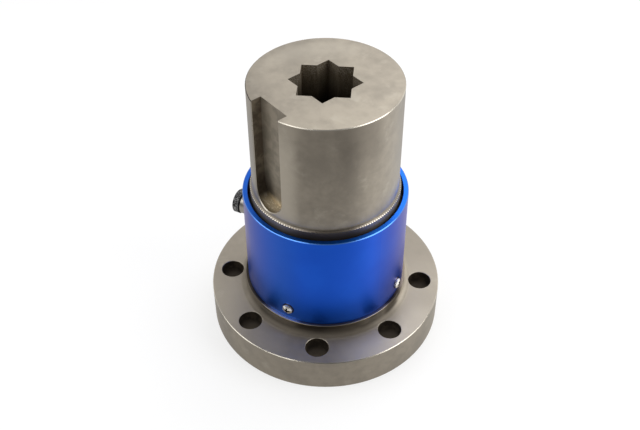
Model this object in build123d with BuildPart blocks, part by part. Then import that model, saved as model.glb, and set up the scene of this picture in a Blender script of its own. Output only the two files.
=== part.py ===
from build123d import *
import os
from math import acos, cos, degrees, hypot, radians, sin, sqrt

# Static torque sensor. Millimetres, +Z up along the measuring axis. The origin is the centre of the
# flange's underside, and the keyway faces -Y.

# Flange
flange_diameter = 180.0
flange_thickness = 28.5
flange_chamfer = 0.5
bolt_rim_distance = 15.0
bolt_shoulder_distance = 12.0
bolt_hole_diameter = 17.5
bolt_hole_count = 8
bolt_hole_chamfer = 0.4
recess_diameter = 100.0
recess_depth = 5.0
recess_chamfer = 0.8

# Shoulder and register under the cover sleeve
shoulder_height = 10.0
shoulder_ledge = 2.0
shoulder_fillet = 4.8
shoulder_chamfer = 0.25
register_height = 21.5
register_clearance = 0.05
register_chamfer = 0.8

# Measuring neck, the room round it inside the cover sleeve, and the bore through it
neck_room = 19.0
neck_length = 46.0
neck_fillet = 8.0
centre_bore_diameter = 38.0

# Collar and shaft
shaft_length = 87.5
shaft_chamfer = 0.5
collar_step = 1.5
collar_height = 21.5
collar_chamfer = 0.4
collar_fillet = 2.5
key_width = 28.0
key_depth = 10.0
key_end_rise = 2.3
key_edge_chamfer = 0.7
socket_across_flats = 36.0
socket_depth = 60.0
relief_margin = 0.6
relief_length = 6.0

# Cover sleeve
cover_wall = 4.0
cover_gap = 1.75
cover_reveal = 5.5
cover_rim_chamfer = 0.5
cover_foot_chamfer = 0.3

# Screws that hold the cover sleeve to the register
cover_screw_count = 4
cover_screw_first_angle = 22.5
cover_screw_height = 10.0
cover_screw_diameter = 4.0
cover_screw_length = 8.0
cover_screw_hole_diameter = 4.5
cover_screw_head_diameter = 8.0
cover_screw_head_height = 3.1
cover_screw_head_side = 1.7
cover_screw_recess_width = 4.4
cover_screw_recess_arm = 1.1
cover_screw_recess_depth = 1.7
cover_counterbore_diameter = 9.5
cover_counterbore_depth = 0.4
tapped_hole_extra = 2.0
thread_clearance = 0.05

# Seal rings
lower_seal_drop = 5.5
upper_seal_drop = 8.0
seal_groove_depth = 2.0
seal_width = 2.6
seal_side_clearance = 0.4
seal_clearance = 0.04
seal_corner = 0.9

# Strain gauges, their terminals and the rubber band over them
near_gauge_angle = 45.0
far_gauge_angle = 135.0
gauge_width = 10.0
gauge_height = 14.0
gauge_thickness = 0.3
terminal_width = 8.0
terminal_height = 4.0
terminal_thickness = 0.5
terminal_rise = 0.5
coating_thickness = 3.0
coating_overlap = 2.5
coating_fillet = 1.0
bond_clearance = 0.03

# Bridge board
board_thickness = 1.6
board_span_angle = 110.0
board_rim_gap = 1.0
board_inner_margin = 1.0
spacer_height = 3.0
spacer_diameter = 4.4
board_screw_end_angle = 5.0
board_screw_diameter = 2.0
board_screw_length = 8.0
board_screw_hole_extra = 1.0
board_screw_head_diameter = 3.8
board_screw_head_height = 1.5
resistor_length = 3.2
resistor_width = 1.6
resistor_height = 0.6
resistor_angles = (-24.0, -16.0, 16.0, 24.0)

# Leads from the gauge terminals to the board
lead_diameter = 1.4
lead_bend = 2.0
lead_clearance = 0.1
far_lead_leave_angle = 75.0

# Connector on the cover sleeve
connector_angle = 202.5
connector_height = 38.2
connector_spot_diameter = 18.6
connector_spot_depth = 0.8
connector_thread_diameter = 14.0
connector_hole_clearance = 0.1
barrel_diameter = 17.6
barrel_length = 11.3
barrel_chamfer = 0.4
nose_diameter = 15.9
nose_length = 3.8
nose_chamfer = 0.4
connector_bore_diameter = 12.4
gasket_thickness = 0.7
washer_diameter = 17.0
washer_thickness = 1.0
nut_across_flats = 17.0
nut_thickness = 2.8
nut_chamfer = 0.3
thread_past_nut = 0.4
insert_clearance = 0.05
insert_recess = 1.2
contact_count = 5
contact_spread = 7.2
contact_diameter = 1.8
contact_bore_diameter = 1.0
contact_bore_depth = 6.0
contact_tail = 2.0
wire_diameter = 1.0
wire_bend = 1.2
wire_start = 0.3

# Screw cap on the connector
cap_diameter = 19.0
cap_ring_step = 0.3
cap_ring_width = 0.6
cap_end_wall = 1.3
cap_edge_chamfer = 0.4
cap_running_gap = 0.2
cap_thread_clearance = 0.1
knurl_count = 40
knurl_depth = 0.4
cap_seal_thickness = 0.8
cap_seal_gap = 0.1
cap_seal_side_clearance = 0.3

# Radii that follow, from the flange's rim inwards, and heights
flange_r = flange_diameter / 2
bolt_circle_r = flange_r - bolt_rim_distance
shoulder_r = bolt_circle_r - bolt_shoulder_distance
cover_r = shoulder_r - shoulder_ledge
cover_bore_r = cover_r - cover_wall
register_r = cover_bore_r - register_clearance
collar_r = cover_bore_r - cover_gap
collar_edge_r = collar_r - collar_chamfer
shaft_r = collar_r - collar_step
neck_r = cover_bore_r - neck_room
centre_bore_r = centre_bore_diameter / 2
socket_tip_r = socket_across_flats / sqrt(2)
relief_r = socket_tip_r + relief_margin

shoulder_z = flange_thickness + shoulder_height
register_z = shoulder_z + register_height
neck_mid_z = register_z + neck_length / 2
collar_z = register_z + neck_length
collar_top_z = collar_z + collar_height
collar_fillet_reach = collar_fillet - (collar_edge_r - shaft_r)
shaft_foot_z = collar_top_z + sqrt(collar_fillet**2 - collar_fillet_reach**2)
shaft_top_z = collar_top_z + shaft_length
key_end_z = collar_top_z + key_end_rise
socket_floor_z = shaft_top_z - socket_depth
relief_floor_z = socket_floor_z - relief_length
cover_top_z = collar_top_z - cover_reveal
cover_length = cover_top_z - shoulder_z
cover_screw_z = shoulder_z + cover_screw_height
cover_screw_hole_depth = cover_screw_length + tapped_hole_extra - cover_wall + cover_counterbore_depth
lower_seal_z = register_z - lower_seal_drop
upper_seal_z = cover_top_z - upper_seal_drop
cover_screw_angles = [cover_screw_first_angle + 360 / cover_screw_count * i for i in range(cover_screw_count)]

board_bottom_z = register_z + spacer_height
board_screw_hole_depth = (
    board_screw_length - board_thickness - spacer_height + board_screw_hole_extra
)
board_top_z = board_bottom_z + board_thickness
board_inner_r = neck_r + neck_fillet + board_inner_margin
board_outer_r = cover_bore_r - board_rim_gap
board_mid_r = (board_inner_r + board_outer_r) / 2
board_screw_angle = board_span_angle / 2 - board_screw_end_angle
terminal_z = register_z + neck_fillet + terminal_rise + terminal_height / 2

# Places along the connector's axis, measured outwards from the measuring axis
connector_z = shoulder_z + connector_height
connector_seat = cover_r - connector_spot_depth
barrel_start = connector_seat + gasket_thickness
barrel_end = barrel_start + barrel_length
nose_end = barrel_end + nose_length
washer_outer_face = sqrt(cover_bore_r**2 - (washer_diameter / 2) ** 2) - bond_clearance
nut_outer_face = washer_outer_face - washer_thickness
nut_inner_face = nut_outer_face - nut_thickness
rear_end = nut_inner_face - thread_past_nut
insert_rear = rear_end + insert_clearance
insert_front = nose_end - insert_recess
contact_rear = insert_rear - contact_tail
cap_start = barrel_end + cap_running_gap
cap_seal_start = nose_end + cap_seal_gap
cap_seal_end = cap_seal_start + cap_seal_thickness
cap_cavity_end = cap_seal_end + cap_seal_gap
cap_end = cap_cavity_end + cap_end_wall


def polar_point(radius, angle, height):
    return Vector(radius * cos(radians(angle)), radius * sin(radians(angle)), height)


def radial_plane(angle, radius, height):
    """A plane that faces outwards at this angle round the measuring axis, with its y upwards."""
    across = (-sin(radians(angle)), cos(radians(angle)), 0)
    outwards = (cos(radians(angle)), sin(radians(angle)), 0)
    return Plane(origin=polar_point(radius, angle, height), x_dir=across, z_dir=outwards)


def connector_plane(place):
    return radial_plane(connector_angle, place, connector_z)


def nearest_vertex(sketch, x, y):
    return sketch.vertices().sort_by_distance(Vector(x, y))[0]


def lies_on_shaft(edge):
    """Whether an edge runs along the shaft's round wall, or just over its foot."""
    radii = [hypot(point.X, point.Y) for point in (edge @ 0, edge @ 0.5, edge @ 1)]
    return min(radii) > shaft_r - bond_clearance and max(radii) < shaft_r + collar_step / 4


# The connector's turned pieces are drawn as place along its axis and radius, then spun about it
connector_out = polar_point(1, connector_angle, 0)
connector_axis = Axis((0, 0, connector_z), connector_out)
connector_section = Plane(
    origin=(0, 0, connector_z), x_dir=connector_out, z_dir=connector_out.cross(Vector(0, 0, 1))
)

# Measuring body: flange, shoulder, register, neck, collar and shaft in one turned piece, drawn in the
# keyway's middle plane so that the seam of its round faces falls in the keyway
with BuildPart() as transducer_body:
    with BuildSketch(Plane(origin=(0, 0, 0), x_dir=(0, -1, 0), z_dir=(-1, 0, 0))) as body_profile:
        with BuildLine():
            foot_line = Polyline(
                (0, shaft_top_z),
                (0, socket_floor_z),
                (relief_r, socket_floor_z),
                (relief_r, relief_floor_z),
                (centre_bore_r, relief_floor_z),
                (centre_bore_r, recess_depth),
                (recess_diameter / 2, recess_depth),
                (recess_diameter / 2, 0),
                (flange_r, 0),
                (flange_r, flange_thickness),
                (shoulder_r, flange_thickness),
                (shoulder_r, shoulder_z),
                (register_r, shoulder_z),
                (register_r, register_z),
                (neck_r, register_z),
                (neck_r, collar_z),
                (collar_r, collar_z),
                (collar_r, collar_top_z - collar_chamfer),
                (collar_edge_r, collar_top_z),
            )
            collar_curve = TangentArc(
                (shaft_r, shaft_foot_z), foot_line @ 1, tangent=(0, -1)
            )
            Polyline(collar_curve @ 0, (shaft_r, shaft_top_z), foot_line @ 0)
        make_face()
        fillet(nearest_vertex(body_profile, shoulder_r, flange_thickness), shoulder_fillet)
        fillet(nearest_vertex(body_profile, neck_r, register_z), neck_fillet)
        fillet(nearest_vertex(body_profile, neck_r, collar_z), neck_fillet)
        chamfer(nearest_vertex(body_profile, shoulder_r, shoulder_z), shoulder_chamfer)
        chamfer(nearest_vertex(body_profile, register_r, register_z), register_chamfer)
        chamfer(nearest_vertex(body_profile, recess_diameter / 2, 0), recess_chamfer)
        chamfer(nearest_vertex(body_profile, shaft_r, shaft_top_z), shaft_chamfer)
        for corner_z in (0, flange_thickness):
            chamfer(nearest_vertex(body_profile, flange_r, corner_z), flange_chamfer)
    revolve(axis=Axis.Z)
    # Eight-point socket: two squares an eighth of a turn apart
    with BuildSketch(Plane.XY.offset(shaft_top_z)):
        Rectangle(socket_across_flats, socket_across_flats)
        Rectangle(socket_across_flats, socket_across_flats, rotation=45)
    extrude(amount=-socket_depth, mode=Mode.SUBTRACT)
    # Keyway with the round end that its cutter leaves
    keyway_plane = radial_plane(-90, shaft_r - key_depth, key_end_z + key_width / 2)
    with BuildSketch(keyway_plane):
        Circle(key_width / 2)
        Rectangle(key_width, shaft_top_z - key_end_z, align=(Align.CENTER, Align.MIN))
    extrude(amount=key_depth + collar_step, mode=Mode.SUBTRACT)
    keyway_rim = transducer_body.edges().filter_by(lies_on_shaft).filter_by(
        lambda edge: 0 < abs((edge @ 0.5).X) <= key_width / 2 + bond_clearance and (edge @ 0.5).Y < 0
    )
    chamfer(keyway_rim, key_edge_chamfer)
    # Flange bolt holes, which also cut into the foot of the shoulder's fillet
    with BuildSketch(Plane.XY.offset(flange_thickness)):
        with PolarLocations(bolt_circle_r, bolt_hole_count):
            Circle(bolt_hole_diameter / 2 + bolt_hole_chamfer)
    extrude(amount=shoulder_fillet, mode=Mode.SUBTRACT)
    with Locations(Plane.XY.offset(flange_thickness)):
        with PolarLocations(bolt_circle_r, bolt_hole_count):
            CounterSinkHole(
                bolt_hole_diameter / 2,
                bolt_hole_diameter / 2 + bolt_hole_chamfer,
                depth=2 * flange_thickness,
                counter_sink_angle=90,
            )
    # Grooves for the seal rings
    with BuildSketch(Plane.XZ):
        groove_width = seal_width + 2 * seal_side_clearance
        for land_r, groove_z in ((register_r, lower_seal_z), (collar_r, upper_seal_z)):
            with Locations((land_r, groove_z)):
                Rectangle(2 * seal_groove_depth, groove_width)
    revolve(axis=Axis.Z, mode=Mode.SUBTRACT)
    # Tapped holes for the cover screws and for the board's screws
    with Locations(*[radial_plane(angle, register_r, cover_screw_z) for angle in cover_screw_angles]):
        Hole(cover_screw_diameter / 2, depth=cover_screw_hole_depth)
    with Locations(Plane.XY.offset(register_z)):
        with Locations(
            *[polar_point(board_mid_r, connector_angle + side * board_screw_angle, 0) for side in (-1, 1)]
        ):
            Hole(board_screw_diameter / 2, depth=board_screw_hole_depth)

# Cover sleeve
with BuildPart() as cover_sleeve:
    with BuildSketch(Plane.XY.offset(shoulder_z)):
        Circle(cover_r)
        Circle(cover_bore_r, mode=Mode.SUBTRACT)
    extrude(amount=cover_length)
    chamfer(cover_sleeve.faces().sort_by(Axis.Z)[-1].edges(), cover_rim_chamfer)
    chamfer(cover_sleeve.faces().sort_by(Axis.Z)[0].edges(), cover_foot_chamfer)
    with Locations(*[radial_plane(angle, cover_r, cover_screw_z) for angle in cover_screw_angles]):
        CounterBoreHole(
            cover_screw_hole_diameter / 2,
            cover_counterbore_diameter / 2,
            cover_counterbore_depth,
            depth=2 * cover_wall,
        )
    with Locations(connector_plane(cover_r)):
        CounterBoreHole(
            connector_thread_diameter / 2 + connector_hole_clearance,
            connector_spot_diameter / 2,
            connector_spot_depth,
            depth=2 * cover_wall,
        )

# One cross-recessed pan-head screw, its seat at the origin and its head up
with BuildPart() as cover_screw:
    with BuildSketch(Plane.XZ):
        with BuildLine():
            head_side = Polyline(
                (0, 0),
                (cover_screw_head_diameter / 2, 0),
                (cover_screw_head_diameter / 2, cover_screw_head_side),
            )
            head_crown = TangentArc(
                (0, cover_screw_head_height), head_side @ 1, tangent=(1, 0)
            )
            Line(head_crown @ 0, head_side @ 0)
        make_face()
    revolve(axis=Axis.Z)
    with BuildSketch():
        Circle(cover_screw_diameter / 2 - thread_clearance)
    extrude(amount=-cover_screw_length)
    with BuildSketch(Plane.XY.offset(cover_screw_head_height)):
        Rectangle(cover_screw_recess_width, cover_screw_recess_arm)
        Rectangle(cover_screw_recess_arm, cover_screw_recess_width)
    extrude(amount=-cover_screw_recess_depth, mode=Mode.SUBTRACT)

with BuildPart() as sleeve_screws:
    seat_r = cover_r - cover_counterbore_depth
    with Locations(*[radial_plane(angle, seat_r, cover_screw_z) for angle in cover_screw_angles]):
        add(cover_screw.part)


def seal_ring(land_r, height):
    """A rubber ring that fills the space from its groove's floor to the cover sleeve's bore."""
    floor_r = land_r - seal_groove_depth
    with BuildPart() as ring:
        with BuildSketch(Plane.XZ):
            with Locations(((floor_r + cover_bore_r) / 2, height)):
                ring_depth = cover_bore_r - floor_r - 2 * seal_clearance
                RectangleRounded(ring_depth, seal_width, seal_corner)
        revolve(axis=Axis.Z)
    return ring.part


lower_seal_ring = seal_ring(register_r, lower_seal_z)
upper_seal_ring = seal_ring(collar_r, upper_seal_z)


def curved_patch(inner_r, thickness, width, height, angle, middle_z):
    """A thin patch that lies on the neck, such as a foil gauge or a soldering terminal."""
    with BuildPart() as patch:
        with BuildSketch(Plane.XY.offset(middle_z - height / 2)):
            Circle(inner_r + thickness)
            Circle(inner_r, mode=Mode.SUBTRACT)
        extrude(amount=height)
        with BuildSketch(radial_plane(angle, 0, middle_z)):
            Rectangle(width, height)
        extrude(amount=inner_r + 2 * thickness, mode=Mode.INTERSECT)
    return patch.part


# Strain gauges and terminals, a quarter of a turn apart
near_angles = (connector_angle - near_gauge_angle, connector_angle + near_gauge_angle)
far_angles = (connector_angle - far_gauge_angle, connector_angle + far_gauge_angle)
gauge_angles = near_angles + far_angles
bonded_r = neck_r + bond_clearance
strain_gauges = [
    curved_patch(bonded_r, gauge_thickness, gauge_width, gauge_height, angle, neck_mid_z)
    for angle in gauge_angles
]
gauge_terminals = [
    curved_patch(bonded_r, terminal_thickness, terminal_width, terminal_height, angle, terminal_z)
    for angle in gauge_angles
]

# Rubber band over the gauges, hollowed where they lie
with BuildPart() as gauge_coating:
    coating_height = gauge_height + 2 * coating_overlap
    with BuildSketch(Plane.XY.offset(neck_mid_z - coating_height / 2)):
        Circle(neck_r + coating_thickness)
        Circle(bonded_r, mode=Mode.SUBTRACT)
    extrude(amount=coating_height)
    band_edges = gauge_coating.edges().filter_by(GeomType.CIRCLE)
    fillet(band_edges.filter_by(lambda edge: edge.radius > neck_r + coating_thickness / 2), coating_fillet)
    for angle in gauge_angles:
        pocket_width = gauge_width + 2 * bond_clearance
        pocket_height = gauge_height + 2 * bond_clearance
        pocket_depth = gauge_thickness + bond_clearance
        add(
            curved_patch(bonded_r, pocket_depth, pocket_width, pocket_height, angle, neck_mid_z),
            mode=Mode.SUBTRACT,
        )

# Bridge board: a sector of a ring on spacers above the register
board_screw_angles = [connector_angle + side * board_screw_angle for side in (-1, 1)]
board_screw_points = [polar_point(board_mid_r, angle, 0) for angle in board_screw_angles]
with BuildPart() as bridge_board:
    with BuildSketch(Plane.XY.offset(board_bottom_z)):
        with BuildLine():
            board_start = connector_angle - board_span_angle / 2
            outer_edge = CenterArc((0, 0), board_outer_r, board_start, board_span_angle)
            inner_edge = CenterArc((0, 0), board_inner_r, board_start, board_span_angle)
            Line(outer_edge @ 0, inner_edge @ 0)
            Line(outer_edge @ 1, inner_edge @ 1)
        make_face()
        with Locations(*board_screw_points):
            Circle(board_screw_diameter / 2 + thread_clearance, mode=Mode.SUBTRACT)
    extrude(amount=board_thickness)

with BuildPart() as board_spacers:
    with BuildSketch(Plane.XY.offset(register_z)):
        with Locations(*board_screw_points):
            Circle(spacer_diameter / 2)
            Circle(board_screw_diameter / 2 + thread_clearance, mode=Mode.SUBTRACT)
    extrude(amount=spacer_height)

with BuildPart() as board_screws:
    with BuildSketch(Plane.XY.offset(board_top_z)):
        with Locations(*board_screw_points):
            Circle(board_screw_head_diameter / 2)
    extrude(amount=board_screw_head_height)
    with BuildSketch(Plane.XY.offset(board_top_z)):
        with Locations(*board_screw_points):
            Circle(board_screw_diameter / 2 - thread_clearance)
    extrude(amount=-board_screw_length)

with BuildPart() as balance_resistors:
    for angle in resistor_angles:
        with BuildSketch(
            Plane(
                origin=polar_point(board_mid_r, connector_angle + angle, board_top_z),
                x_dir=polar_point(1, connector_angle + angle, 0),
            )
        ):
            Rectangle(resistor_length, resistor_width)
        extrude(amount=resistor_height)


def swept_wire(path, diameter):
    """A round wire along a path of straight runs and tangent arcs."""
    with BuildPart() as wire:
        with BuildSketch(Plane(path @ 0, z_dir=path % 0)):
            Circle(diameter / 2)
        sweep(path=path)
    return wire.part


lead_r = lead_diameter / 2
lead_land_r = board_inner_r + spacer_diameter / 2
lead_end_z = board_top_z + lead_clearance
near_lead_z = terminal_z + terminal_height / 2 - lead_r
far_lead_z = terminal_z - terminal_height / 2 + lead_r


def near_lead(angle):
    """From a terminal beside the board: straight out from the neck, then down to the board."""
    start_r = bonded_r + terminal_thickness + lead_clearance
    with BuildLine() as path:
        FilletPolyline(
            polar_point(start_r, angle, near_lead_z),
            polar_point(lead_land_r, angle, near_lead_z),
            polar_point(lead_land_r, angle, lead_end_z),
            radius=lead_bend,
        )
    return swept_wire(path.wires()[0], lead_diameter)


def far_lead(side):
    """From a terminal on the neck's far side: round the neck, off along its tangent, then down."""
    run_r = neck_r + lead_r + lead_clearance
    beside_terminal = degrees((terminal_width / 2 + lead_clearance) / neck_r)
    start = far_gauge_angle - beside_terminal
    land = far_lead_leave_angle - degrees(acos(run_r / lead_land_r))
    with BuildLine() as path:
        wrap = CenterArc(
            (0, 0, far_lead_z),
            run_r,
            connector_angle + side * start,
            -side * (start - far_lead_leave_angle),
        )
        FilletPolyline(
            wrap @ 1,
            polar_point(lead_land_r, connector_angle + side * land, far_lead_z),
            polar_point(lead_land_r, connector_angle + side * land, lead_end_z),
            radius=lead_bend,
        )
    return swept_wire(path.wires()[0], lead_diameter)


gauge_leads = [near_lead(angle) for angle in near_angles] + [far_lead(side) for side in (-1, 1)]

# Connector barrel with the nose that its cap screws on and the thread through the cover sleeve
with BuildPart() as connector_shell:
    with BuildSketch(connector_section) as shell_profile:
        with BuildLine():
            Polyline(
                (rear_end, connector_bore_diameter / 2),
                (rear_end, connector_thread_diameter / 2),
                (barrel_start, connector_thread_diameter / 2),
                (barrel_start, barrel_diameter / 2),
                (barrel_end, barrel_diameter / 2),
                (barrel_end, nose_diameter / 2),
                (nose_end, nose_diameter / 2),
                (nose_end, connector_bore_diameter / 2),
                close=True,
            )
        make_face()
        chamfer(nearest_vertex(shell_profile, rear_end, connector_thread_diameter / 2), nose_chamfer)
        chamfer(nearest_vertex(shell_profile, barrel_end, barrel_diameter / 2), barrel_chamfer)
        chamfer(nearest_vertex(shell_profile, nose_end, nose_diameter / 2), nose_chamfer)
    revolve(axis=connector_axis)

with BuildPart() as connector_gasket:
    with BuildSketch(connector_plane(connector_seat)):
        Circle(barrel_diameter / 2)
        Circle(connector_thread_diameter / 2 + connector_hole_clearance, mode=Mode.SUBTRACT)
    extrude(amount=gasket_thickness)

with BuildPart() as connector_washer:
    with BuildSketch(connector_plane(nut_outer_face)):
        Circle(washer_diameter / 2)
        Circle(connector_thread_diameter / 2 + connector_hole_clearance, mode=Mode.SUBTRACT)
    extrude(amount=washer_thickness)

with BuildPart() as connector_nut:
    with BuildSketch(connector_plane(nut_inner_face)):
        RegularPolygon(nut_across_flats / 2, 6, major_radius=False)
        Circle(connector_thread_diameter / 2 + thread_clearance, mode=Mode.SUBTRACT)
    extrude(amount=nut_thickness)
    inner_face = connector_nut.faces().sort_by(connector_axis)[0]
    chamfer(inner_face.edges().filter_by(GeomType.LINE), nut_chamfer)

with BuildPart() as connector_insert:
    with BuildSketch(connector_plane(insert_rear)):
        Circle(connector_bore_diameter / 2 - insert_clearance)
        with PolarLocations(contact_spread / 2, contact_count, start_angle=90):
            Circle(contact_diameter / 2 + insert_clearance, mode=Mode.SUBTRACT)
    extrude(amount=insert_front - insert_rear)

with BuildPart() as connector_contacts:
    with BuildSketch(connector_plane(contact_rear)):
        with PolarLocations(contact_spread / 2, contact_count, start_angle=90):
            Circle(contact_diameter / 2)
    extrude(amount=insert_front - contact_rear)
    with Locations(connector_plane(insert_front)):
        with PolarLocations(contact_spread / 2, contact_count, start_angle=90):
            Hole(contact_bore_diameter / 2, depth=contact_bore_depth)


def signal_wire(angle):
    """From one contact's tail: a little way inwards, then down to the bridge board."""
    contact = connector_plane(contact_rear - wire_start)
    circle_r = contact_spread / 2
    start = contact.from_local_coords((circle_r * cos(radians(angle)), circle_r * sin(radians(angle)), 0))
    corner = start - connector_out * (wire_bend + wire_diameter)
    with BuildLine() as path:
        FilletPolyline(start, corner, (corner.X, corner.Y, lead_end_z), radius=wire_bend)
    return swept_wire(path.wires()[0], wire_diameter)


with BuildPart() as signal_wires:
    for i in range(contact_count):
        add(signal_wire(90 + 360 / contact_count * i))

# Knurled screw cap, and the rubber disc inside it
with BuildPart() as dust_cap:
    with BuildSketch(connector_section) as cap_profile:
        ring_r = cap_diameter / 2 - cap_ring_step
        cavity_r = nose_diameter / 2 + cap_thread_clearance
        with BuildLine():
            Polyline(
                (cap_start, cavity_r),
                (cap_start, ring_r),
                (cap_start + cap_ring_width, ring_r),
                (cap_start + cap_ring_width, cap_diameter / 2),
                (cap_end - cap_ring_width, cap_diameter / 2),
                (cap_end - cap_ring_width, ring_r),
                (cap_end, ring_r),
                (cap_end, 0),
                (cap_cavity_end, 0),
                (cap_cavity_end, cavity_r),
                close=True,
            )
        make_face()
        chamfer(nearest_vertex(cap_profile, cap_end, ring_r), cap_edge_chamfer)
    revolve(axis=connector_axis)
    with BuildSketch(connector_plane(cap_start)):
        with PolarLocations(cap_diameter / 2, knurl_count):
            RegularPolygon(knurl_depth, 4)
    extrude(amount=cap_end - cap_start, mode=Mode.SUBTRACT)

with BuildPart() as cap_seal:
    with BuildSketch(connector_plane(cap_seal_start)):
        Circle(nose_diameter / 2 + cap_thread_clearance - cap_seal_side_clearance)
    extrude(amount=cap_seal_thickness)

pieces = {
    "transducer_body": transducer_body.part,
    "cover_sleeve": cover_sleeve.part,
    "sleeve_screws": sleeve_screws.part,
    "lower_seal_ring": lower_seal_ring,
    "upper_seal_ring": upper_seal_ring,
    "gauge_coating": gauge_coating.part,
    "bridge_board": bridge_board.part,
    "board_spacers": board_spacers.part,
    "board_screws": board_screws.part,
    "balance_resistors": balance_resistors.part,
    "connector_shell": connector_shell.part,
    "connector_gasket": connector_gasket.part,
    "connector_washer": connector_washer.part,
    "connector_nut": connector_nut.part,
    "connector_insert": connector_insert.part,
    "connector_contacts": connector_contacts.part,
    "signal_wires": signal_wires.part,
    "dust_cap": dust_cap.part,
    "cap_seal": cap_seal.part,
}
for i in range(len(gauge_angles)):
    pieces[f"strain_gauge_{i + 1}"] = strain_gauges[i]
    pieces[f"gauge_terminal_{i + 1}"] = gauge_terminals[i]
    pieces[f"gauge_lead_{i + 1}"] = gauge_leads[i]

os.makedirs("parts", exist_ok=True)
for name, piece in pieces.items():
    piece.label = name
    export_step(piece, f"parts/{name}.step")
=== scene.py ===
from collections import namedtuple
from math import cos, pi, radians, sin

import bmesh
import bpy
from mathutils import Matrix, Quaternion, Vector

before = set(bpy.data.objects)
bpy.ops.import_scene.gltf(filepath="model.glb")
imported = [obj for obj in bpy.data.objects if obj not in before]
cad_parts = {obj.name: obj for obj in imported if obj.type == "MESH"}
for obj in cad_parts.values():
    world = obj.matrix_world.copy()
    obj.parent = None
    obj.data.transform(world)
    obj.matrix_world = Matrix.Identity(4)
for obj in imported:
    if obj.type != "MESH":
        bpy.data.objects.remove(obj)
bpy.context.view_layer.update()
scene = bpy.context.scene
scene.view_settings.view_transform = "Standard"

# Sizes that the looks share with the CAD part, in metres
FLANGE_TOP = 0.0285
FLANGE_RADIUS = 0.090
SHOULDER_TOP = 0.0385
SHOULDER_RADIUS = 0.063
SHOULDER_FILLET = 0.0048
FILLET_TOP = FLANGE_TOP + SHOULDER_FILLET
FILLET_END = SHOULDER_RADIUS + SHOULDER_FILLET
BOLT_CIRCLE_RADIUS = 0.075
BOLT_HOLE_RADIUS = 0.00875
BOLT_HOLES = 8
COLLAR_RADIUS = 0.05525
COLLAR_TOP = 0.1275
COLLAR_TICKS = 170
SHAFT_RADIUS = 0.05375
SHAFT_TOP = 0.215
SOCKET_RADIUS = 0.0262
KEY_HALF_WIDTH = 0.014
KEY_FLOOR = 0.04375
KEY_END = 0.1298
KEY_EDGE = 0.0007
BORE_RADIUS = 0.057
COVER_RADIUS = 0.061
COVER_TOP = 0.122
SCREWS = 4
SCREW_ANGLE = radians(22.5)
SCREW_HEIGHT = 0.0485
SCREW_TOP = 0.0637
CROSS_WIDTH = 0.0011
CROSS_LENGTH = 0.0044
CONNECTOR_ANGLE = radians(202.5)
CONNECTOR_HEIGHT = 0.0767
OUTWARDS = (cos(CONNECTOR_ANGLE), sin(CONNECTOR_ANGLE), 0.0)
SIDEWAYS = (-sin(CONNECTOR_ANGLE), cos(CONNECTOR_ANGLE), 0.0)
CAP_START = 0.0724
CAP_END = 0.0783
CAP_RING = 0.0006
NOSE_START = 0.0722
NOSE_END = 0.0760
NOSE_RADIUS = 0.00795
THREAD_PITCH = 0.00075

# The chamfer on turned rims, and how near to a face a place still counts as on it
EDGE = 0.0005
SKIN = 0.0001
HAIR = 0.00002

# The photograph's camera
CAMERA_PLACE = Vector((0.3920, -0.3312, 0.56867))
CAMERA_VIEW = Vector((-0.56422, 0.46893, -0.67953))
CAMERA_ROLL = Quaternion((0.0, 0.0, 1.0), radians(-0.31))
CAMERA_TURN = radians(-40.4)
camera = bpy.data.cameras.new("camera")
camera.lens = 52.1
camera.sensor_width = 36.0
camera.clip_start = 0.01
camera_object = bpy.data.objects.new("camera", camera)
camera_object.location = CAMERA_PLACE
camera_object.rotation_mode = "QUATERNION"
camera_object.rotation_quaternion = CAMERA_VIEW.to_track_quat("-Z", "Y") @ CAMERA_ROLL
scene.collection.objects.link(camera_object)
scene.camera = camera_object


class Wire:
    """An output socket. Operators on it add Math nodes, and node() adds any other kind."""

    def __init__(self, tree, socket=None):
        self.tree = tree
        self.socket = socket

    def node(self, kind, settings=None, sockets=None, output=0):
        made = self.tree.nodes.new("ShaderNode" + kind)
        for name, value in (settings or {}).items():
            setattr(made, name, value)
        for name, value in (sockets or {}).items():
            if isinstance(value, Wire):
                self.tree.links.new(value.socket, made.inputs[name])
            else:
                made.inputs[name].default_value = value
        return Wire(self.tree, made.outputs[output])

    def math(self, operation, *values):
        return self.node("Math", {"operation": operation}, dict(enumerate(values)))

    def __add__(self, other):
        return self.math("ADD", self, other)

    def __sub__(self, other):
        return self.math("SUBTRACT", self, other)

    def __rsub__(self, other):
        return self.math("SUBTRACT", other, self)

    def __mul__(self, other):
        return self.math("MULTIPLY", self, other)

    def __truediv__(self, other):
        return self.math("DIVIDE", self, other)

    def __gt__(self, other):
        return self.math("GREATER_THAN", self, other)

    def __lt__(self, other):
        return self.math("LESS_THAN", self, other)

    __radd__ = __add__
    __rmul__ = __mul__

    def least(self, other):
        return self.math("MINIMUM", self, other)

    def most(self, other):
        return self.math("MAXIMUM", self, other)

    def root(self):
        return self.math("SQRT", self)

    def steps(self, low, high):
        """0 below low and 1 above high, with a soft change between them."""
        inputs = {"Value": self, "From Min": low, "From Max": high}
        return self.node("MapRange", {"interpolation_type": "SMOOTHSTEP"}, inputs)

    def between(self, low, high):
        """1 from low to high, and 0 elsewhere."""
        return (self > low) * (self < high)

    def dot(self, direction):
        """How far a place lies in a direction."""
        sockets = {0: self, 1: direction}
        return self.node("VectorMath", {"operation": "DOT_PRODUCT"}, sockets, output="Value")

    def stretched(self, *factors):
        return self.node("VectorMath", {"operation": "MULTIPLY"}, {0: self, 1: factors})


def mix(mask, first, second):
    """A colour: first where the mask is 0, second where it is 1."""
    picks = {0: mask, 6: first, 7: second}
    return mask.node("Mix", {"data_type": "RGBA"}, picks, output=2)


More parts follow.
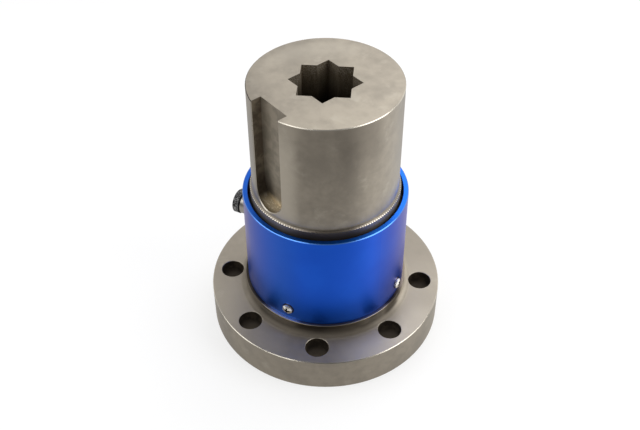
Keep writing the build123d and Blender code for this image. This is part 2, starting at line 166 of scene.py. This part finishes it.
def rgb(red, green, blue):
    """A colour given as it is read off a screen, 0 to 255, as Blender's linear values."""
    values = []
    for part in (red / 255, green / 255, blue / 255):
        values.append(part / 12.92 if part <= 0.04045 else ((part + 0.055) / 1.055) ** 2.4)
    return (*values, 1.0)


WHITE = (1.0, 1.0, 1.0, 1.0)
# Steel painted lighter for painted light, and darker for painted shade
PAINTED_LIGHT_STEEL = rgb(190, 182, 168)
PAINTED_SHADE_STEEL = rgb(96, 90, 82)
SHADED_STEEL = rgb(60, 54, 46)


def new_material(name, metallic=0.0, roughness=0.5, colour=(0.5, 0.5, 0.5, 1.0)):
    """A material with a Principled shader, and a wire that its nodes start from."""
    made = bpy.data.materials.new(name)
    made.use_nodes = True
    surface = made.node_tree.nodes["Principled BSDF"]
    surface.inputs["Metallic"].default_value = metallic
    surface.inputs["Roughness"].default_value = roughness
    surface.inputs["Base Color"].default_value = colour
    return made, surface, Wire(made.node_tree)


def connect(surface, **wires):
    for name, wire in wires.items():
        wire.tree.links.new(wire.socket, surface.inputs[name.replace("_", " ")])


def studio_place(turn, rise, distance):
    """A place round the object: turn in degrees to the right of the camera, rise above the floor."""
    level = distance * cos(radians(rise))
    bearing = CAMERA_TURN + radians(turn)
    return (level * cos(bearing), level * sin(bearing), distance * sin(radians(rise)))


def towards(point, turn):
    """How far a point lies in the direction that is turn degrees to the right of the camera."""
    return point.dot(studio_place(turn, 0, 1.0))


Place = namedtuple("Place", "start point x y z radius angle")


def object_place(start):
    """A place in the object's coordinates: its point, x, y and z, its radius and its angle."""
    point = start.node("TexCoord", output="Object")
    x, y, z = [start.node("SeparateXYZ", {}, {"Vector": point}, output=i) for i in range(3)]
    return Place(start, point, x, y, z, (x * x + y * y).root(), start.math("ARCTAN2", y, x))


def facing(place, turn, low, high):
    """0 to 1 where a round side comes to face turn degrees to the right of the camera."""
    return (towards(place.point, turn) / place.radius).steps(low, high)


def noise(place, scale, detail=2.0, roughness=0.5):
    sockets = {"Vector": place, "Scale": scale, "Detail": detail, "Roughness": roughness}
    return place.node("TexNoise", {}, sockets)


def warped(place, scale, amount):
    """Noise on a place that another noise has pushed about, for smears and stains."""
    push = place.node("TexNoise", {}, {"Vector": place, "Scale": scale * 0.6, "Detail": 2.0}, output=1)
    centred = place.node("VectorMath", {"operation": "SUBTRACT"}, {0: push, 1: (0.5, 0.5, 0.5)})
    pushed = place.node("VectorMath", {"operation": "SCALE"}, {0: centred, "Scale": amount})
    moved = place.node("VectorMath", {"operation": "ADD"}, {0: place, 1: pushed})
    return noise(moved, scale, detail=4.0, roughness=0.6)


def tool_lines(place, scale, round_scale, detail, roughness):
    """Fine lines that a turning tool leaves, round the axis."""
    sockets = {0: place.radius * scale, 1: place.z * scale, 2: place.angle * round_scale}
    unrolled = place.start.node("CombineXYZ", {}, sockets)
    return noise(unrolled, 1.0, detail=detail, roughness=roughness)


def bump(height, strength, distance, normal=None):
    sockets = {"Height": height, "Strength": strength, "Distance": distance}
    if normal is not None:
        sockets["Normal"] = normal
    return height.node("Bump", {}, sockets)


def on_rim(place, top, radius):
    """The small chamfer round the top of a turned piece."""
    return (place.z > top - EDGE - HAIR) * (place.radius > radius - EDGE - HAIR)


def clouded_steel(place):
    """Soft clouds in the grey, at three sizes: the colour, its tone, its spots and its smears."""
    clouds = warped(place.point, 26.0, 0.03)
    spots = noise(place.point, 150.0, detail=3.0, roughness=0.6)
    tone = (clouds * 0.7 + spots * 0.3).steps(0.36, 0.66)
    steel = mix(tone, rgb(139, 132, 121), rgb(159, 151, 138))
    smear = warped(place.point, 60.0, 0.02).steps(0.56, 0.72)
    return mix(smear * 0.45, steel, rgb(172, 165, 152)), tone, spots, smear


def shaft_painted_light_and_shade(place, steel):
    """Painted light and shade on the shaft: painted light beside the keyway, painted shade at both
    sides, high on the right and high in front.
    """
    z = place.z
    on_side = (place.radius > SHAFT_RADIUS - SKIN) * (z > COLLAR_TOP + 0.003)
    lit_by_key = facing(place, -33, 0.962, 0.996) * (1.0 - z.steps(SHAFT_TOP - 0.030, SHAFT_TOP + 0.010))
    steel = mix(on_side * lit_by_key * 0.55, steel, PAINTED_LIGHT_STEEL)
    shaded_high_right = facing(place, 27, 0.93, 0.995) * z.steps(SHAFT_TOP - 0.050, SHAFT_TOP - 0.015)
    steel = mix(on_side * shaded_high_right * 0.45, steel, PAINTED_SHADE_STEEL)
    shaded_sides = facing(place, 80, 0.92, 1.0).most(facing(place, -76, 0.92, 1.0))
    shaded_high_front = facing(place, 0, 0.92, 1.0) * z.steps(SHAFT_TOP - 0.033, SHAFT_TOP - 0.007)
    return mix(on_side * shaded_sides.most(shaded_high_front) * 0.25, steel, PAINTED_SHADE_STEEL)


def shaft_end_painted_light_and_shade(place, steel):
    """The shaft's end face: painted shade to the left, and painted light at the back."""
    on_end = place.z > SHAFT_TOP - SKIN
    to_left = (towards(place.point, -75) / SHAFT_RADIUS).steps(0.60, 1.0)
    steel = mix(on_end * to_left * 0.35, steel, PAINTED_SHADE_STEEL)
    to_back = (towards(place.point, -165) / SHAFT_RADIUS).steps(0.35, 0.75)
    to_back = to_back * (1.0 - place.radius.steps(0.042, 0.052))
    return mix(on_end * to_back * 0.3, steel, PAINTED_LIGHT_STEEL)


def drive_socket(place, steel):
    """The socket's olive brown cut walls, speckled, with lighter streaks down them, and painted shade
    deeper down.
    """
    z = place.z
    in_socket = (place.radius < SOCKET_RADIUS) * (z < SHAFT_TOP - 0.0002)
    streaks = noise(place.point.stretched(1.0, 1.0, 0.12), 700.0, detail=3.0, roughness=0.6)
    speckle = noise(place.point, 1500.0, detail=2.0, roughness=0.7)
    grain = (streaks * 0.3 + speckle * 0.7).steps(0.36, 0.68)
    wire_cut = mix(grain, rgb(118, 106, 88), rgb(168, 156, 136))
    # Painted shade: the walls grow darker deeper down the socket
    fade = z.steps(SHAFT_TOP - 0.040, SHAFT_TOP - 0.002)
    wire_cut = mix(1.0 - fade, wire_cut, rgb(58, 50, 40))
    flecks = (speckle * fade).steps(0.50, 0.62) * z.steps(SHAFT_TOP - 0.016, SHAFT_TOP - 0.004)
    wire_cut = mix(flecks * 0.6, wire_cut, rgb(222, 214, 200))
    return mix(in_socket, steel, wire_cut), in_socket


def bolt_holes(place, steel, spots):
    """The bolt holes' dark drilled walls, and the rims round their mouths."""
    start, z, radius = place.start, place.z, place.radius
    folded = start.math("PINGPONG", place.angle + 2 * pi, pi / BOLT_HOLES)
    reach = start.math("COSINE", folded) * (2 * BOLT_CIRCLE_RADIUS) * radius
    to_hole = (radius * radius + BOLT_CIRCLE_RADIUS**2 - reach).root()
    in_hole = (to_hole < BOLT_HOLE_RADIUS + SKIN) * (z < FLANGE_TOP - 0.0003)
    deep = 1.0 - z.steps(FLANGE_TOP - 0.016, FLANGE_TOP - 0.008)
    wall = mix(spots.steps(0.4, 0.65), rgb(58, 50, 42), rgb(84, 74, 62))
    steel = mix(in_hole, steel, mix(deep, wall, rgb(112, 103, 92)))
    hole_rim = to_hole.between(BOLT_HOLE_RADIUS + SKIN, BOLT_HOLE_RADIUS + 0.0006)
    return steel, in_hole, hole_rim * (z > FLANGE_TOP - 0.0006)


def keyway(place, steel):
    """The keyway's stained walls with painted shade low on the left, its foot painted light with thin
    scratches, and its chamfer.
    """
    point, x, y, z, radius = place.point, place.x, place.y, place.z, place.radius
    drop = (z - (KEY_END + KEY_HALF_WIDTH)).least(0.0)
    from_middle = (x * x + drop * drop).root()
    on_front = (y < 0.0) * (z < SHAFT_TOP - EDGE - SKIN)
    in_key = (from_middle < KEY_HALF_WIDTH + 0.00005) * (radius < SHAFT_RADIUS - KEY_EDGE - HAIR)
    in_key = in_key * on_front * (z > KEY_END - SKIN) * (y < 0.00005 - KEY_FLOOR)
    on_floor = in_key * (y > -KEY_FLOOR - 0.0002)

    stains = warped(point, 120.0, 0.012).steps(0.38, 0.62)
    wall_grey = mix(stains, rgb(100, 89, 74), rgb(130, 119, 102))
    floor_grey = mix(stains, rgb(118, 110, 96), rgb(136, 127, 112))
    steel = mix(in_key, steel, mix(on_floor, wall_grey, floor_grey))
    # Painted shade low on the left of the keyway
    shade_low_left = (1.0 - z.steps(KEY_END + 0.0062, KEY_END + 0.0382)) * (0.0 - x).steps(0.001, 0.009)
    steel = mix(in_key * shade_low_left * 0.75, steel, rgb(44, 36, 26))

    # Painted light on the keyway's foot, with thin scratches in it, and painted shade at its outer
    # part
    foot = 1.0 - z.steps(KEY_END, KEY_END + 0.0065)
    outer = (0.0 - y).steps(KEY_FLOOR + 0.00475, KEY_FLOOR + 0.00925)
    leaning = point.node("VectorRotate", {"rotation_type": "Y_AXIS"}, {"Vector": point, "Angle": 0.55})
    scratches = noise(leaning.stretched(1.0, 1.0, 0.05), 900.0).steps(0.50, 0.66)
    lit_scratched_foot = mix(scratches, rgb(196, 180, 150), rgb(240, 228, 202))
    steel = mix(in_key * foot, steel, mix(outer, lit_scratched_foot, rgb(120, 106, 82)))

    # The chamfer, with a painted highlight on its left side only
    key_rim_highlight = from_middle.between(KEY_HALF_WIDTH + 0.00003, KEY_HALF_WIDTH + KEY_EDGE + 0.0003)
    key_rim_highlight = key_rim_highlight * on_front * radius.between(SHAFT_RADIUS - 0.0012, SHAFT_RADIUS - 0.00003)
    return steel, in_key, key_rim_highlight * (x < 0.0)


def flange_face(place, steel):
    """The flange's face: painted light in front on the right, and at both sides."""
    on_face = place.z.between(FLANGE_TOP - SKIN, FLANGE_TOP + SKIN)
    steel = mix(on_face * 0.5, steel, rgb(140, 133, 122))
    outer = place.radius.steps(SHOULDER_RADIUS + 0.001, SHOULDER_RADIUS + 0.020)
    right_front = facing(place, 35, 0.80, 1.0) * outer
    right_side = facing(place, 78, 0.85, 1.0)
    left_side = facing(place, -66, 0.90, 1.0)
    lit_parts = (right_front * 0.62 + right_side * 0.2 + left_side * 0.2).least(1.0)
    return mix(on_face * lit_parts, steel, PAINTED_LIGHT_STEEL), on_face


def shoulder(place, steel):
    """The shoulder below the sleeve, in painted light and shade: darkest under its ledge, lighter to
    the foot of its fillet.
    """
    z, radius = place.z, place.radius
    ahead = towards(place.point, 0) / radius
    to_right = towards(place.point, 90) / radius
    in_front = 1.0 - to_right.steps(0.76, 0.94)
    beside = z.between(FLANGE_TOP - SKIN, SHOULDER_TOP) * (radius > BORE_RADIUS)
    beside = beside * (1.0 - radius.steps(FILLET_END - 0.0020, FILLET_END + 0.0005))
    # Painted light on the right side of the shoulder
    outward = radius.steps(SHOULDER_RADIUS + 0.0002, SHOULDER_RADIUS + 0.0035)
    lit = (1.0 - in_front) * (1.0 - outward * 0.80) * 0.85
    steel = mix(beside * lit, steel, rgb(206, 197, 182))

    # Painted shade on the fillet and on the wall under the ledge, darkest in front
    fillet_shade = ahead.steps(0.40, 0.70) * 0.36 + facing(place, 8, 0.85, 0.97) * 0.10 + 0.27
    fillet_shade = fillet_shade - to_right.steps(0.45, 0.65) * 0.20
    by_ledge = ahead.steps(0.90, 1.0) * z.steps(SHOULDER_TOP - 0.0050, SHOULDER_TOP - 0.0020)
    wall_shade = facing(place, 3, 0.88, 0.95) * 0.55 + by_ledge * 0.18 + 0.35
    wall_shade = wall_shade - to_right.steps(-0.3, 0.3) * 0.20
    on_fillet = 1.0 - z.steps(FILLET_TOP - 0.0017, FILLET_TOP + 0.0003)
    shade = wall_shade + (fillet_shade - wall_shade) * on_fillet
    steel = mix(beside * in_front * shade, steel, rgb(70, 63, 55))

    # Painted shade under the ledge on the right, and a painted dark spot of shade
    shade_under_right = z.steps(SHOULDER_TOP - 0.0060, SHOULDER_TOP - 0.0030)
    shade_under_right = shade_under_right * (1.0 - in_front) * (1.0 - to_right.steps(0.90, 0.96))
    steel = mix(beside * shade_under_right, steel, SHADED_STEEL)
    shade_spot = facing(place, 54, 0.985, 0.998) * z.steps(FLANGE_TOP + 0.0013, FLANGE_TOP + 0.0030)
    return mix(beside * shade_spot * 0.6, steel, SHADED_STEEL), beside


def shoulder_ledge(place, steel):
    """The ledge that the sleeve stands on: painted shade in front, and a painted highlight on the
    left.
    """
    on_ledge = place.z.between(SHOULDER_TOP - 0.0006, SHOULDER_TOP + SKIN)
    on_ledge = on_ledge * (place.radius > COVER_RADIUS - 0.001)
    ledge_rim = on_ledge * (place.radius > SHOULDER_RADIUS - 0.0005)
    caught = facing(place, -31, 0.965, 0.995)
    ledge_grey = mix(caught, rgb(118, 108, 96), rgb(214, 204, 188))
    lighter = facing(place, 0, 0.62, 0.70).most(facing(place, 90, 0.90, 0.96))
    ledge_grey = mix(lighter, rgb(62, 56, 48), ledge_grey)
    rim_grey = mix(lighter, rgb(74, 68, 60), rgb(136, 127, 114))
    return mix(on_ledge, steel, mix(ledge_rim, ledge_grey, rim_grey)), on_ledge


def collar(place, steel):
    """The collar: dull wall with painted shade in front, a fillet darkened by painted shade down to
    it, and an edge in fine burr ticks painted as a highlight.
    """
    z, radius = place.z, place.radius
    # Painted shade in front on the wall, the fillet and the edge; the edge's ticks are painted as a
    # highlight at the sides
    in_front = facing(place, 2, 0.80, 0.98)
    on_wall = z.between(COVER_TOP - 0.004, COLLAR_TOP - 0.0008)
    on_wall = on_wall * radius.between(COLLAR_RADIUS - 0.0003, COLLAR_RADIUS + 0.0003)
    steel = mix(on_wall, steel, mix(in_front, rgb(134, 127, 120), rgb(74, 68, 64)))
    on_fillet = (z > COLLAR_TOP + 0.00005) * (radius > SHAFT_RADIUS - SKIN)
    on_fillet = on_fillet * (1.0 - z.steps(COLLAR_TOP, COLLAR_TOP + 0.0032))
    steel = mix(on_fillet * (in_front * 0.5 + 0.3), steel, rgb(84, 76, 68))
    on_edge = z.between(COLLAR_TOP - 0.0008, COLLAR_TOP + SKIN)
    on_edge = on_edge * radius.between(COLLAR_RADIUS - 0.0006, COLLAR_RADIUS + 0.0003)
    ticks = place.start.math("SINE", place.angle * float(COLLAR_TICKS)).steps(-0.5, 0.7)
    burr = mix(ticks, rgb(104, 96, 86), rgb(206, 198, 184))
    steel = mix(on_edge, steel, mix(in_front, burr, rgb(104, 96, 88)))
    return steel, on_wall, on_edge, ticks * on_edge * (1.0 - in_front)


def turned_steel():
    """The body's turned steel: warm grey, softly clouded, with fine tool lines round the axis."""
    made, surface, start = new_material("turned_steel", metallic=1.0)
    place = object_place(start)
    steel, tone, spots, smear = clouded_steel(place)
    steel = shaft_painted_light_and_shade(place, steel)
    steel = shaft_end_painted_light_and_shade(place, steel)
    steel, in_socket = drive_socket(place, steel)
    steel, in_hole, hole_rim = bolt_holes(place, steel, spots)
    steel, in_key, key_rim_highlight = keyway(place, steel)
    steel, on_face = flange_face(place, steel)

    # Burnished edges with painted highlights: the rims of shaft, flange and bolt holes, and the
    # keyway's chamfer
    shaft_rim = on_rim(place, SHAFT_TOP, SHAFT_RADIUS)
    flange_rim = on_rim(place, FLANGE_TOP, FLANGE_RADIUS)
    rims = (shaft_rim + flange_rim + hole_rim * 0.25 + key_rim_highlight * 0.5).least(1.0)
    steel = mix(rims, steel, rgb(192, 186, 174))
    # Painted shade on the shaft's rim at the left
    steel = mix(shaft_rim * facing(place, -80, 0.55, 0.85), steel, rgb(70, 64, 56))

    steel, beside_shoulder = shoulder(place, steel)
    steel, on_ledge = shoulder_ledge(place, steel)
    steel, on_collar, on_collar_edge, burr_ticks = collar(place, steel)

    lines = tool_lines(place, 1900.0, 0.6, detail=3.0, roughness=0.7)
    cut = (in_socket + in_hole).least(1.0)
    on_flange = (place.z < FLANGE_TOP + 0.008) * (1.0 - flange_rim)
    roughness = tone * 0.06 + lines * 0.06 + cut * 0.16 + in_key * 0.08 + on_flange * 0.18 + 0.30
    roughness = roughness + on_collar * 0.15 + beside_shoulder * (1.0 - on_ledge) * 0.14
    roughness = roughness - rims * 0.12 - on_collar_edge * 0.1 - smear * 0.03
    pits = noise(place.point, 900.0, detail=2.0, roughness=0.6)
    relief = bump(lines * (on_face * 0.75 + 0.10) * (1.0 - in_key), 1.0, 0.00002)
    relief = bump(pits * cut, 0.25, 0.0001, relief)
    relief = bump(burr_ticks, 0.6, 0.0001, relief)
    metal = 1.0 - in_key * 0.5 - in_socket * 0.12 - on_collar * 0.25
    connect(surface, Base_Color=steel, Metallic=metal, Roughness=roughness, Normal=relief)
    return made


def from_screw(place):
    """How far a place on the sleeve lies from the nearest screw's axis, round the sleeve and up it."""
    half_turn = pi / SCREWS
    turn = place.start.math("WRAP", place.angle - SCREW_ANGLE, half_turn, -half_turn)
    return place.start.math("SINE", turn) * SCREW_TOP, place.z - SCREW_HEIGHT


def blue_anodising():
    """The cover sleeve's satin blue anodised aluminium, with faint lines round it."""
    made, surface, start = new_material("blue_anodising", metallic=1.0)
    place = object_place(start)
    z, radius = place.z, place.radius
    clouds = noise(place.point, 26.0, detail=3.0)
    blue = mix(clouds.steps(0.35, 0.65), rgb(13, 87, 211), rgb(16, 93, 218))
    # Painted shade on the right side, painted light on the front left, and a painted pale reflection
    # along the left edge
    blue = mix(facing(place, 58, 0.90, 1.0) * 0.32, blue, rgb(8, 50, 130))
    blue = mix(facing(place, -50, 0.80, 0.98) * 0.45, blue, rgb(26, 92, 180))
    left_reflection = facing(place, -80, 0.955, 1.0) * z.steps(SHOULDER_TOP + 0.0115, SHOULDER_TOP + 0.0415)
    blue = mix(left_reflection * 0.4, blue, rgb(112, 122, 182))

    # Its top face is duller between two bright edges: painted light on its right, a painted highlight
    # on its outer edge
    on_top = (z > COVER_TOP - SKIN) * radius.between(BORE_RADIUS + EDGE, COVER_RADIUS - EDGE)
    lit_right_part = facing(place, 70, 0.0, 0.8)
    blue = mix(on_top, blue, mix(lit_right_part, rgb(11, 83, 180), rgb(20, 104, 218)))
    outer_edge_highlight = on_rim(place, COVER_TOP, COVER_RADIUS)
    blue = mix(outer_edge_highlight, blue, rgb(84, 136, 214))

    # Painted shade round each screw's head, as a dark gap
    along, up = from_screw(place)
    aside, lift = along - 0.0002, up - 0.0003
    gap_shade = 1.0 - (aside * aside + lift * lift).root().steps(0.0045, 0.0053)
    blue = mix(gap_shade * (z < COVER_TOP - 0.01), blue, rgb(6, 10, 32))

    # Painted shade: its foot is darker above the shoulder's ledge, and its bore is painted dark
    foot = 1.0 - z.steps(SHOULDER_TOP, SHOULDER_TOP + 0.0022)
    blue = mix(foot * 0.35, blue, rgb(6, 38, 104))
    bore_shade = (radius < BORE_RADIUS + 0.0002) * (z < COVER_TOP - 0.0006)
    blue = mix(bore_shade, blue, rgb(10, 11, 16))

    lines = tool_lines(place, 2600.0, 0.8, detail=2.0, roughness=0.6)
    grain = noise(place.point, 3200.0, detail=1.0)
    roughness = lines * 0.05 + 0.36 - outer_edge_highlight * 0.1
    relief = bump(lines + grain * 0.6, 0.12, 0.00002)
    connect(surface, Base_Color=blue, Roughness=roughness, Normal=relief)
    surface.inputs["Specular Tint"].default_value = (1.0, 0.8, 0.6, 1.0)
    surface.inputs["Coat Weight"].default_value = 0.15
    surface.inputs["Coat Roughness"].default_value = 0.3
    return made


def bright_screws():
    """Bright steel pan heads, with painted shade in the cross recess."""
    made, surface, start = new_material("bright_screws", metallic=0.9)
    place = object_place(start)
    along, up = from_screw(place)
    side, height = start.math("ABSOLUTE", along), start.math("ABSOLUTE", up)
    cross = side.most(height) < CROSS_LENGTH / 2 + 0.0002
    cross = cross * (side.least(height) < CROSS_WIDTH / 2 + 0.0002) * (place.radius > COVER_RADIUS)
    marks = noise(place.point, 2500.0)
    steel = mix(marks.steps(0.4, 0.7), rgb(244, 242, 238), rgb(222, 219, 213))
    # Painted shade in the cross recess
    steel = mix(cross, steel, rgb(58, 46, 36))
    connect(surface, Base_Color=steel, Roughness=marks * 0.08 + cross * 0.3 + 0.16)
    return made


def knurled_cap():
    """Black cap: a worn knurled band between smooth dark rings."""
    made, surface, start = new_material("knurled_cap", metallic=0.6)
    point = start.node("TexCoord", output="Object")
    band = point.dot(OUTWARDS).between(CAP_START + CAP_RING + SKIN, CAP_END - CAP_RING - SKIN)
    wear = noise(point, 620.0, detail=4.0, roughness=0.75).steps(0.40, 0.64)
    worn = mix(wear, rgb(26, 26, 27), rgb(132, 131, 129))
    fine = noise(point, 2600.0)
    connect(
        surface,
        Base_Color=mix(band, rgb(24, 24, 25), worn),
        Roughness=fine * 0.1 + 0.34,
        Normal=bump(fine, 0.25, 0.00002),
    )
    return made


def connector_nickel():
    """Satin nickel plate, with the fine thread that the cap screws on shown on the nose by bumps and
    painted shade.
    """
    made, surface, start = new_material("connector_nickel", metallic=1.0)
    point = start.node("TexCoord", output="Object")
    outwards, sideways = point.dot(OUTWARDS), point.dot(SIDEWAYS)
    up = start.node("SeparateXYZ", {}, {"Vector": point}, output=2) - CONNECTOR_HEIGHT
    round_axis = start.math("ARCTAN2", up, sideways) / (2 * pi)
    flank = start.math("PINGPONG", outwards / THREAD_PITCH + round_axis, 0.5) * 2.0
    on_nose = outwards.between(NOSE_START + 0.0003, NOSE_END - 0.0003)
    on_nose = on_nose * ((up * up + sideways * sideways).root() > NOSE_RADIUS - SKIN)
    wear = noise(point, 240.0)
    marks = noise(point, 2500.0)
    nickel = mix(wear.steps(0.4, 0.7), rgb(158, 155, 149), rgb(143, 140, 135))
    # Painted shade in the thread's grooves
    nickel = mix(on_nose * (1.0 - flank) * 0.75, nickel, rgb(52, 50, 47))
    relief = bump(marks, 0.08, 0.00001)
    relief = bump(flank * on_nose, 1.0, 0.0003, relief)
    connect(surface, Base_Color=nickel, Roughness=marks * 0.08 + wear * 0.06 + 0.22, Normal=relief)
    return made


def plated(name, colour, roughness):
    """Bright plated or polished metal with fine marks in it."""
    made, surface, start = new_material(name, metallic=1.0)
    point = start.node("TexCoord", output="Object")
    marks = noise(point, 2500.0)
    wear = noise(point, 240.0)
    dull = tuple(0.82 * part for part in colour[:3]) + (1.0,)
    connect(
        surface,
        Base_Color=mix(wear.steps(0.4, 0.7), colour, dull),
        Roughness=marks * 0.08 + wear * 0.06 + roughness,
        Normal=bump(marks, 0.08, 0.00001),
    )
    return made


def moulded(name, colour, roughness):
    """Plastic or rubber with a fine grain."""
    made, surface, start = new_material(name)
    point = start.node("TexCoord", output="Object")
    fine = noise(point, 1800.0)
    broad = noise(point, 130.0, detail=3.0)
    light = tuple(min(1.0, 1.35 * part + 0.004) for part in colour[:3]) + (1.0,)
    connect(
        surface,
        Base_Color=mix(broad.steps(0.35, 0.7), colour, light),
        Roughness=fine * 0.12 + broad * 0.1 + roughness,
        Normal=bump(fine, 0.3, 0.00002),
    )
    return made


def dress(material, *nodes):
    """The CAD node takes this material in all its slots."""
    for name in nodes:
        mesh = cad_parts[name].data
        mesh.materials.clear()
        mesh.materials.append(material)


def four(name):
    """The nodes of a piece that is there once for each strain gauge."""
    return [f"{name}_{i}" for i in range(1, 5)]


dress(turned_steel(), "transducer_body")
dress(blue_anodising(), "cover_sleeve")
dress(bright_screws(), "sleeve_screws")
dress(plated("zinc_plate", rgb(236, 234, 230), 0.3), "board_screws")
dress(connector_nickel(), "connector_shell", "connector_nut", "connector_washer")
dress(
    moulded("black_rubber", rgb(22, 22, 23), 0.6),
    "lower_seal_ring", "upper_seal_ring", "connector_gasket", "cap_seal",
)
dress(knurled_cap(), "dust_cap")
dress(moulded("insert_black", rgb(30, 30, 31), 0.42), "connector_insert", "balance_resistors")
dress(moulded("coating_silicone", rgb(196, 188, 172), 0.45), "gauge_coating")
dress(moulded("board_green", rgb(24, 92, 52), 0.4), "bridge_board")
dress(moulded("wire_grey", rgb(150, 150, 152), 0.45), "signal_wires", *four("gauge_lead"))
dress(
    plated("brass", rgb(214, 178, 104), 0.2),
    "board_spacers", "connector_contacts", *four("gauge_terminal"),
)
dress(moulded("gauge_film", rgb(196, 140, 66), 0.35), *four("strain_gauge"))


def make_floor():
    """White paper with the object's shadow. Metal sees a painted glow on it, dimmer in front and
    bright to the right.
    """
    made, surface, start = new_material("floor_paper", roughness=0.9, colour=(0.9, 0.9, 0.895, 1.0))
    point = start.node("TexCoord", output="Object")
    away = start.node("VectorMath", {"operation": "LENGTH"}, {0: point}, output="Value")
    to_right = towards(point, 90) / away
    to_back = towards(point, 180).steps(0.05, 0.30)
    near = (1.0 - away.steps(0.09, 0.26)) * (to_right.steps(0.0, 0.8) * 0.22 + 0.45)
    sides = to_right.steps(0.48, 1.0) + (0.0 - to_right).steps(0.45, 1.0) * 0.35
    lit = (sides * away.steps(0.12, 0.22) + to_back * 0.3 + near).least(1.0)
    # A painted glow on the floor that metal sees, in place of studio light
    seen_in_metal = mix(lit, (0.34, 0.33, 0.32, 1.0), (1.30, 1.29, 1.27, 1.0))
    camera_ray = start.node("LightPath", output="Is Camera Ray")
    glossy_ray = start.node("LightPath", output="Is Glossy Ray")
    through_ray = start.node("LightPath", output="Is Transmission Ray")
    seen = mix(camera_ray, seen_in_metal, WHITE)
    glow = start.node("Emission", {}, {"Color": seen, "Strength": 1.0})
    share = camera_ray * 0.65 + (glossy_ray + through_ray) * 0.75
    both = start.node("MixShader", {}, {0: share, 1: Wire(start.tree, surface.outputs[0]), 2: glow})
    connect(start.tree.nodes["Material Output"], Surface=both)
    mesh = bpy.data.meshes.new("floor")
    shape = bmesh.new()
    bmesh.ops.create_grid(shape, x_segments=1, y_segments=1, size=6.0)
    shape.to_mesh(mesh)
    shape.free()
    mesh.materials.append(made)
    floor = bpy.data.objects.new("floor", mesh)
    scene.collection.objects.link(floor)


def make_world():
    """A white studio that is bright behind the object and dim on the camera's side."""
    world = bpy.data.worlds.new("studio")
    world.use_nodes = True
    scene.world = world
    start = Wire(world.node_tree)
    camera_ray = start.node("LightPath", output="Is Camera Ray")
    direction = start.node("TexCoord", output="Generated")
    behind = towards(direction, 180).steps(-0.1, 0.65)
    overhead = start.node("SeparateXYZ", {}, {"Vector": direction}, output=2).steps(0.55, 0.95)
    to_right = towards(direction, 90).steps(0.0, 0.8)
    lit = (behind * 0.92 + overhead * 0.3 + to_right * 0.2).least(1.0)
    grey = mix(lit, (0.13, 0.13, 0.13, 1.0), (1.25, 1.25, 1.25, 1.0))
    background = world.node_tree.nodes["Background"]
    connect(background, Color=mix(camera_ray, grey, WHITE))
    background.inputs["Strength"].default_value = 1.0


def softbox(name, place, width, height, power):
    """A soft lamp that faces the middle of the object."""
    lamp = bpy.data.lights.new(name, "AREA")
    lamp.shape = "RECTANGLE"
    lamp.size = width
    lamp.size_y = height
    lamp.energy = power
    lamp_object = bpy.data.objects.new(name, lamp)
    lamp_object.location = place
    lamp_object.rotation_mode = "QUATERNION"
    middle = Vector((0.0, 0.0, 0.1))
    lamp_object.rotation_quaternion = (middle - Vector(place)).to_track_quat("-Z", "Y")
    lamp_object.visible_camera = False
    scene.collection.objects.link(lamp_object)


make_floor()
make_world()
softbox("right_softbox", studio_place(72, 36, 1.2), 0.8, 0.8, 6.5)
softbox("left_softbox", studio_place(-80, 35, 1.2), 0.7, 0.9, 4.0)
softbox("front_left_softbox", studio_place(-42, 43, 1.2), 0.5, 0.5, 2.0)
softbox("top_softbox", studio_place(140, 52, 1.3), 1.0, 0.8, 4.5)
